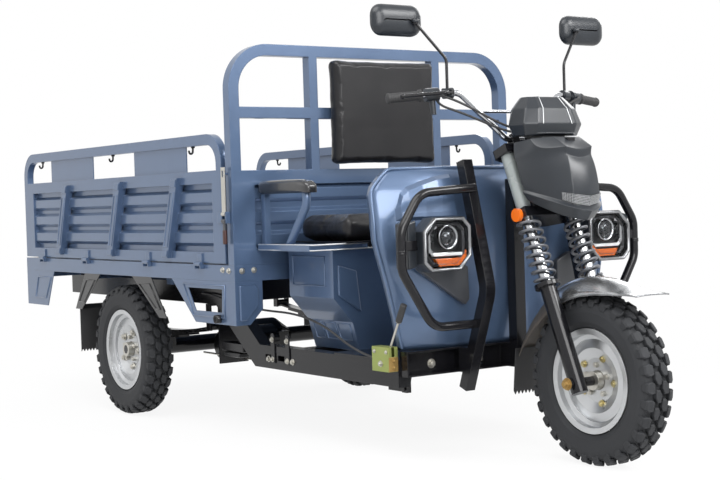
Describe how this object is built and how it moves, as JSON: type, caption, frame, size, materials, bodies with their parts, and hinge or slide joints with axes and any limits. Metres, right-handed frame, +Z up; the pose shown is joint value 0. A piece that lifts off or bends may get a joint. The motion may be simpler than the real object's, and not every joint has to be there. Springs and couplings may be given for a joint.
{
  "type": "cargo tricycle",
  "caption": "Cargo tricycle with a drop-side bed, hooped headboard, padded rider seat, sprung front fork and block-tread tyres.",
  "frame": {"origin": "centre of the footprint on the ground", "axes": "+X forward, +Y to the rider's left, +Z up"},
  "size_m": [3.4915, 1.36, 1.514],
  "materials": {
    "body_paint": "gloss",
    "black_frame": "gloss",
    "silver_rim": "satin",
    "zinc_plate": "satin",
    "chrome_plate": "polished",
    "pale_paint": "gloss",
    "tyre_rubber": "matte",
    "black_rubber": "matte",
    "dark_plastic": "matte",
    "leatherette": "satin",
    "amber_plastic": "gloss",
    "clear_lens": "gloss"
  },
  "bodies": {
    "chassis": {"chassis_frame": "black_frame", "floor_pan": "black_frame", "bull_bar": "black_frame", "front_shield": "body_paint", "headlamps": "dark_plastic", "headlamp_lenses": "clear_lens", "seat_barrel": "body_paint", "seat_platform": "body_paint", "armrest_tubes": "body_paint", "armrest_pads": "dark_plastic", "bed_floor": "body_paint", "headboard": "body_paint", "backrest_pad": "leatherette", "bed_skirts": "body_paint", "rear_mud_flaps": "black_rubber", "shift_box": "zinc_plate", "shift_cable": "black_rubber", "board_hinges": "zinc_plate", "leaf_springs": "black_frame"},
    "rear_axle_unit": {"rear_axle": "black_frame"},
    "right_rear_wheel": {"right_rear_tyre": "tyre_rubber", "right_rear_rim": "silver_rim", "right_rear_hub": "zinc_plate"},
    "left_rear_wheel": {"left_rear_tyre": "tyre_rubber", "left_rear_rim": "silver_rim", "left_rear_hub": "zinc_plate"},
    "steering": {"fork_yokes": "black_frame", "fork_stanchions": "chrome_plate", "fork_covers": "pale_paint", "side_markers": "amber_plastic", "handlebar": "chrome_plate", "left_grip": "black_rubber", "bar_controls": "dark_plastic", "mirror_stems": "black_frame", "nose_cowl": "dark_plastic", "instrument_pod": "dark_plastic", "bar_cables": "black_rubber"},
    "throttle": {"throttle_grip": "black_rubber"},
    "front_brake_lever": {"brake_lever": "black_frame"},
    "right_mirror": {"right_mirror_head": "dark_plastic"},
    "left_mirror": {"left_mirror_head": "dark_plastic"},
    "fork_lower": {"fork_sliders": "black_frame", "fork_springs": "zinc_plate", "front_fender": "chrome_plate", "fender_flap": "black_rubber"},
    "front_wheel": {"front_tyre": "tyre_rubber", "front_rim": "silver_rim", "front_hub": "zinc_plate"},
    "right_side": {"right_board": "body_paint"},
    "left_side": {"left_board": "body_paint"},
    "tail": {"tailgate": "body_paint"},
    "right_toggle": {"right_latch_lever": "zinc_plate"},
    "left_toggle": {"left_latch_lever": "zinc_plate"},
    "right_link": {"right_latch_link": "zinc_plate"},
    "left_link": {"left_latch_link": "zinc_plate"},
    "pedal": {"brake_pedal": "black_frame"},
    "rod": {"brake_rod": "zinc_plate"},
    "gear_lever": {"shift_lever": "zinc_plate"},
    "seat": {"seat_base": "black_frame", "seat_cushion": "leatherette"}
  },
  "joints": [
    {"name": "steer", "type": "hinge", "parent": "chassis", "child": "steering", "pos_m": [1.43554, 0, 0.25769], "axis": [-0.3827, 0, 0.9239], "range_deg": [-35, 35]},
    {"name": "fork_travel", "type": "slide", "parent": "steering", "child": "fork_lower", "axis": [-0.3827, 0, 0.9239], "range_m": [0, 0.06], "stiffness_N_per_m": 40000, "springref_m": -0.1, "deforming": ["fork_springs"]},
    {"name": "axle_travel", "type": "slide", "parent": "chassis", "child": "rear_axle_unit", "axis": [0, 0, 1], "range_m": [0, 0.035], "stiffness_N_per_m": 90000, "springref_m": -0.12, "deforming": ["leaf_springs"]},
    {"name": "front_wheel_spin", "type": "hinge", "parent": "fork_lower", "child": "front_wheel", "pos_m": [1.4725, 0, 0.273], "axis": [0, 1, 0], "continuous": true},
    {"name": "right_wheel_spin", "type": "hinge", "parent": "rear_axle_unit", "child": "right_rear_wheel", "pos_m": [-0.7345, -0.584, 0.273], "axis": [0, 1, 0], "continuous": true},
    {"name": "left_wheel_spin", "type": "hinge", "parent": "rear_axle_unit", "child": "left_rear_wheel", "pos_m": [-0.7345, 0.584, 0.273], "axis": [0, 1, 0], "continuous": true},
    {"name": "right_board_drop", "type": "hinge", "parent": "chassis", "child": "right_side", "pos_m": [-0.7345, -0.668, 0.652], "axis": [1, 0, 0], "range_deg": [0, 150]},
    {"name": "left_board_drop", "type": "hinge", "parent": "chassis", "child": "left_side", "pos_m": [-0.7345, 0.668, 0.652], "axis": [-1, 0, 0], "range_deg": [0, 150]},
    {"name": "tailgate_drop", "type": "hinge", "parent": "chassis", "child": "tail", "pos_m": [-1.7375, 0, 0.652], "axis": [0, -1, 0], "range_deg": [0, 150]},
    {"name": "right_toggle_swing", "type": "hinge", "parent": "right_side", "child": "right_toggle", "pos_m": [0.2505, -0.672, 0.812], "axis": [-1, 0, 0], "range_deg": [0, 110]},
    {"name": "left_toggle_swing", "type": "hinge", "parent": "left_side", "child": "left_toggle", "pos_m": [0.2505, 0.672, 0.812], "axis": [1, 0, 0], "range_deg": [0, 110]},
    {"name": "right_link_swing", "type": "hinge", "parent": "right_side", "child": "right_link", "pos_m": [0.2505, -0.672, 0.838], "axis": [1, 0, 0], "range_deg": [0, 22]},
    {"name": "left_link_swing", "type": "hinge", "parent": "left_side", "child": "left_link", "pos_m": [0.2505, 0.672, 0.838], "axis": [-1, 0, 0], "range_deg": [0, 22]},
    {"name": "throttle_twist", "type": "hinge", "parent": "steering", "child": "throttle", "pos_m": [1.0035, -0.466, 1.203], "axis": [0.2677, 0.9606, 0.0748], "range_deg": [0, 70], "stiffness_Nm_per_rad": 0.2},
    {"name": "brake_lever_pull", "type": "hinge", "parent": "steering", "child": "front_brake_lever", "pos_m": [1.09327, -0.27052, 1.21893], "axis": [0.0201, 0.0721, -0.9972], "range_deg": [0, 8], "stiffness_Nm_per_rad": 3, "springref_deg": -11.46},
    {"name": "right_mirror_turn", "type": "hinge", "parent": "steering", "child": "right_mirror", "pos_m": [1.025, -0.36, 1.452], "axis": [0, 0, 1], "range_deg": [-18, 18]},
    {"name": "left_mirror_turn", "type": "hinge", "parent": "steering", "child": "left_mirror", "pos_m": [1.025, 0.36, 1.452], "axis": [0, 0, 1], "range_deg": [-18, 18]},
    {"name": "pedal_press", "type": "hinge", "parent": "chassis", "child": "pedal", "pos_m": [0.8255, -0.3, 0.216], "axis": [0, 1, 0], "range_deg": [0, 15], "stiffness_Nm_per_rad": 20, "springref_deg": -17.19},
    {"name": "rod_pull", "type": "slide", "parent": "chassis", "child": "rod", "axis": [1, 0, 0], "range_m": [0, 0.0072]},
    {"name": "gear_shift", "type": "hinge", "parent": "chassis", "child": "gear_lever", "pos_m": [0.9555, -0.474, 0.33], "axis": [0, 1, 0], "range_deg": [-10, 10]},
    {"name": "seat_tilt", "type": "hinge", "parent": "chassis", "child": "seat", "pos_m": [0.6555, 0, 0.715], "axis": [0, 1, 0], "range_deg": [0, 70]}
  ],
  "couplings": [
    {"joint": "right_link_swing", "follows": "right_toggle_swing", "ratio": 0.2},
    {"joint": "left_link_swing", "follows": "left_toggle_swing", "ratio": 0.2},
    {"joint": "rod_pull", "follows": "pedal_press", "m_per_rad": 0.027}
  ]
}
